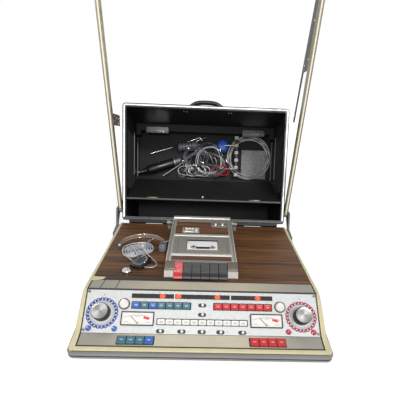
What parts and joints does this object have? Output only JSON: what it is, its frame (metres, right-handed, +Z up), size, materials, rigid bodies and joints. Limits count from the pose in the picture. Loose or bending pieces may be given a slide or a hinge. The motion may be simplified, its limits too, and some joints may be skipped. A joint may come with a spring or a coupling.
{
  "type": "portable audiometer",
  "caption": "Portable audiometer opened for use: sloping key panel, walnut deck with cassette recorder, and a hinged accessory box between tall rails.",
  "frame": {"origin": "middle of the bounding box's footprint, on the surface the case stands on", "axes": "+Z up, -Y towards the operator, +X to the operator's right"},
  "size_m": [0.471, 0.7148, 0.611],
  "materials": {
    "tray_grey": "satin",
    "feet_rubber": "matte",
    "rim_metal": "brushed",
    "cream_rubber": "matte",
    "walnut": "satin",
    "panel_metal": "brushed",
    "dial_print": "printed",
    "black_plastic": "satin",
    "meter_white": "gloss",
    "smoked_plastic": "gloss",
    "lamp_orange": "gloss",
    "grey_metal": "satin",
    "chassis_metal": "plain",
    "board_green": "matte",
    "iron_core": "plain",
    "recorder_silver": "satin",
    "cassette_white": "gloss",
    "chrome": "polished",
    "button_white": "gloss",
    "key_blue": "gloss",
    "key_red": "gloss",
    "slider_grey": "satin",
    "needle_black": "matte",
    "headset_mixed": "gloss",
    "lead_grey": "matte",
    "lead_black": "matte",
    "receiver_clear": "gloss"
  },
  "bodies": {
    "console": {"base_tray": "tray_grey", "rubber_feet": "feet_rubber", "tray_rim": "rim_metal", "console_sides": "rim_metal", "cream_seal": "cream_rubber", "wood_deck": "walnut", "top_strip": "panel_metal", "control_panel": "panel_metal", "lower_strip": "panel_metal", "dial_rings": "dial_print", "button_bezels": "black_plastic", "level_meters": "meter_white", "indicator_windows": "smoked_plastic", "indicator_lamps": "lamp_orange", "potentiometers": "grey_metal", "chassis": "chassis_metal", "circuit_board": "board_green", "power_transformer": "iron_core", "recorder_body": "recorder_silver", "recorder_trim": "recorder_silver", "recorder_inlay": "walnut", "cassette": "cassette_white", "panel_screws": "grey_metal", "rail_pivots": "tray_grey", "box_hinge_pin": "chrome", "bone_receiver": "receiver_clear", "receiver_lead": "lead_grey"},
    "accessory_box": {"box_shell": "black_plastic", "box_rim": "rim_metal", "box_fittings": "chrome", "headset": "headset_mixed", "microphone": "black_plastic", "headset_lead": "lead_grey", "black_leads": "lead_black"},
    "flap": {"flap_door": "black_plastic"},
    "handle": {"carry_handle": "black_plastic"},
    "cover_frame": {"side_rails": "rim_metal", "far_wall": "black_plastic", "stays": "grey_metal"},
    "left_knob": {"left_knob": "chrome"},
    "right_knob": {"right_knob": "chrome"},
    "left_round_button": {"left_round_button": "button_white"},
    "right_round_button": {"right_round_button": "button_white"},
    "blue_small_buttons": {"blue_small_buttons": "key_blue"},
    "red_small_buttons": {"red_small_buttons": "key_red"},
    "blue_keys": {"blue_keys": "key_blue"},
    "red_keys": {"red_keys": "key_red"},
    "white_keys": {"white_keys": "button_white"},
    "slide_keys": {"slide_keys": "slider_grey"},
    "left_bars": {"left_bars": "key_blue"},
    "right_bars": {"right_bars": "key_red"},
    "left_needle": {"left_needle": "needle_black"},
    "right_needle": {"right_needle": "needle_black"},
    "recorder_lid": {"recorder_lid": "recorder_silver"},
    "record_key": {"record_key": "key_red"},
    "rewind_key": {"rewind_key": "black_plastic"},
    "forward_key": {"forward_key": "black_plastic"},
    "play_key": {"play_key": "black_plastic"},
    "stop_key": {"stop_key": "black_plastic"},
    "pause_key": {"pause_key": "black_plastic"}
  },
  "joints": [
    {"name": "box_hinge", "type": "hinge", "parent": "console", "child": "accessory_box", "pos_m": [0, 0.05512, 0.092], "axis": [1, 0, 0], "range_deg": [0, 114]},
    {"name": "flap_hinge", "type": "hinge", "parent": "accessory_box", "child": "flap", "pos_m": [0, 0.23596, 0.15548], "axis": [1, 0, 0], "range_deg": [-117, 0]},
    {"name": "handle_hinge", "type": "hinge", "parent": "accessory_box", "child": "handle", "pos_m": [0, 0.27619, 0.33943], "axis": [1, 0, 0], "range_deg": [-75, 75]},
    {"name": "cover_hinge", "type": "hinge", "parent": "console", "child": "cover_frame", "pos_m": [0, 0.08012, 0.115], "axis": [1, 0, 0], "range_deg": [0, 93]},
    {"name": "left_knob_turn", "type": "hinge", "parent": "console", "child": "left_knob", "pos_m": [-0.184, -0.28626, 0.06034], "axis": [0, -0.5948, 0.8039], "range_deg": [-150, 150]},
    {"name": "right_knob_turn", "type": "hinge", "parent": "console", "child": "right_knob", "pos_m": [0.184, -0.28626, 0.06034], "axis": [0, -0.5948, 0.8039], "range_deg": [-150, 150]},
    {"name": "left_round_push", "type": "slide", "parent": "console", "child": "left_round_button", "axis": [0, 0.5948, -0.8039], "range_m": [0, 0.0025], "stiffness_N_per_m": 300, "springref_m": -0.002},
    {"name": "right_round_push", "type": "slide", "parent": "console", "child": "right_round_button", "axis": [0, 0.5948, -0.8039], "range_m": [0, 0.0025], "stiffness_N_per_m": 300, "springref_m": -0.002},
    {"name": "blue_small_push", "type": "slide", "parent": "console", "child": "blue_small_buttons", "axis": [0, 0.5948, -0.8039], "range_m": [0, 0.0025], "stiffness_N_per_m": 300, "springref_m": -0.002},
    {"name": "red_small_push", "type": "slide", "parent": "console", "child": "red_small_buttons", "axis": [0, 0.5948, -0.8039], "range_m": [0, 0.0025], "stiffness_N_per_m": 300, "springref_m": -0.002},
    {"name": "blue_keys_push", "type": "slide", "parent": "console", "child": "blue_keys", "axis": [0, 0.5948, -0.8039], "range_m": [0, 0.0025], "stiffness_N_per_m": 300, "springref_m": -0.002},
    {"name": "red_keys_push", "type": "slide", "parent": "console", "child": "red_keys", "axis": [0, 0.5948, -0.8039], "range_m": [0, 0.0025], "stiffness_N_per_m": 300, "springref_m": -0.002},
    {"name": "white_keys_push", "type": "slide", "parent": "console", "child": "white_keys", "axis": [0, 0.5948, -0.8039], "range_m": [0, 0.0025], "stiffness_N_per_m": 300, "springref_m": -0.002},
    {"name": "slide_keys_push", "type": "slide", "parent": "console", "child": "slide_keys", "axis": [0, 0.5948, -0.8039], "range_m": [0, 0.0025], "stiffness_N_per_m": 300, "springref_m": -0.002},
    {"name": "left_bars_push", "type": "slide", "parent": "console", "child": "left_bars", "axis": [0, 0.2079, -0.9781], "range_m": [0, 0.0025], "stiffness_N_per_m": 300, "springref_m": -0.002},
    {"name": "right_bars_push", "type": "slide", "parent": "console", "child": "right_bars", "axis": [0, 0.2079, -0.9781], "range_m": [0, 0.0025], "stiffness_N_per_m": 300, "springref_m": -0.002},
    {"name": "left_needle_swing", "type": "hinge", "parent": "console", "child": "left_needle", "pos_m": [-0.1185, -0.30032, 0.04993], "axis": [0, -0.5948, 0.8039], "range_deg": [-76, 0], "stiffness_Nm_per_rad": 0.0005, "springref_deg": 17.19},
    {"name": "right_needle_swing", "type": "hinge", "parent": "console", "child": "right_needle", "pos_m": [0.1185, -0.30032, 0.04993], "axis": [0, -0.5948, 0.8039], "range_deg": [-76, 0], "stiffness_Nm_per_rad": 0.0005, "springref_deg": 17.19},
    {"name": "lid_hinge", "type": "hinge", "parent": "console", "child": "recorder_lid", "pos_m": [0, -0.07622, 0.11081], "axis": [1, 0, 0], "range_deg": [-60, 0]},
    {"name": "record_key_press", "type": "hinge", "parent": "console", "child": "record_key", "pos_m": [0, -0.17858, 0.0995], "axis": [1, 0, 0], "range_deg": [0, 4], "stiffness_Nm_per_rad": 0.05, "springref_deg": -5.73},
    {"name": "rewind_key_press", "type": "hinge", "parent": "console", "child": "rewind_key", "pos_m": [0, -0.17858, 0.0995], "axis": [1, 0, 0], "range_deg": [0, 4], "stiffness_Nm_per_rad": 0.05, "springref_deg": -5.73},
    {"name": "forward_key_press", "type": "hinge", "parent": "console", "child": "forward_key", "pos_m": [0, -0.17858, 0.0995], "axis": [1, 0, 0], "range_deg": [0, 4], "stiffness_Nm_per_rad": 0.05, "springref_deg": -5.73},
    {"name": "play_key_press", "type": "hinge", "parent": "console", "child": "play_key", "pos_m": [0, -0.17858, 0.0995], "axis": [1, 0, 0], "range_deg": [0, 4], "stiffness_Nm_per_rad": 0.05, "springref_deg": -5.73},
    {"name": "stop_key_press", "type": "hinge", "parent": "console", "child": "stop_key", "pos_m": [0, -0.17858, 0.0995], "axis": [1, 0, 0], "range_deg": [0, 4], "stiffness_Nm_per_rad": 0.05, "springref_deg": -5.73},
    {"name": "pause_key_press", "type": "hinge", "parent": "console", "child": "pause_key", "pos_m": [0, -0.17858, 0.0995], "axis": [1, 0, 0], "range_deg": [0, 4], "stiffness_Nm_per_rad": 0.05, "springref_deg": -5.73}
  ],
  "couplings": [
    {"joint": "flap_hinge", "follows": "box_hinge", "ratio": -1.0263}
  ]
}
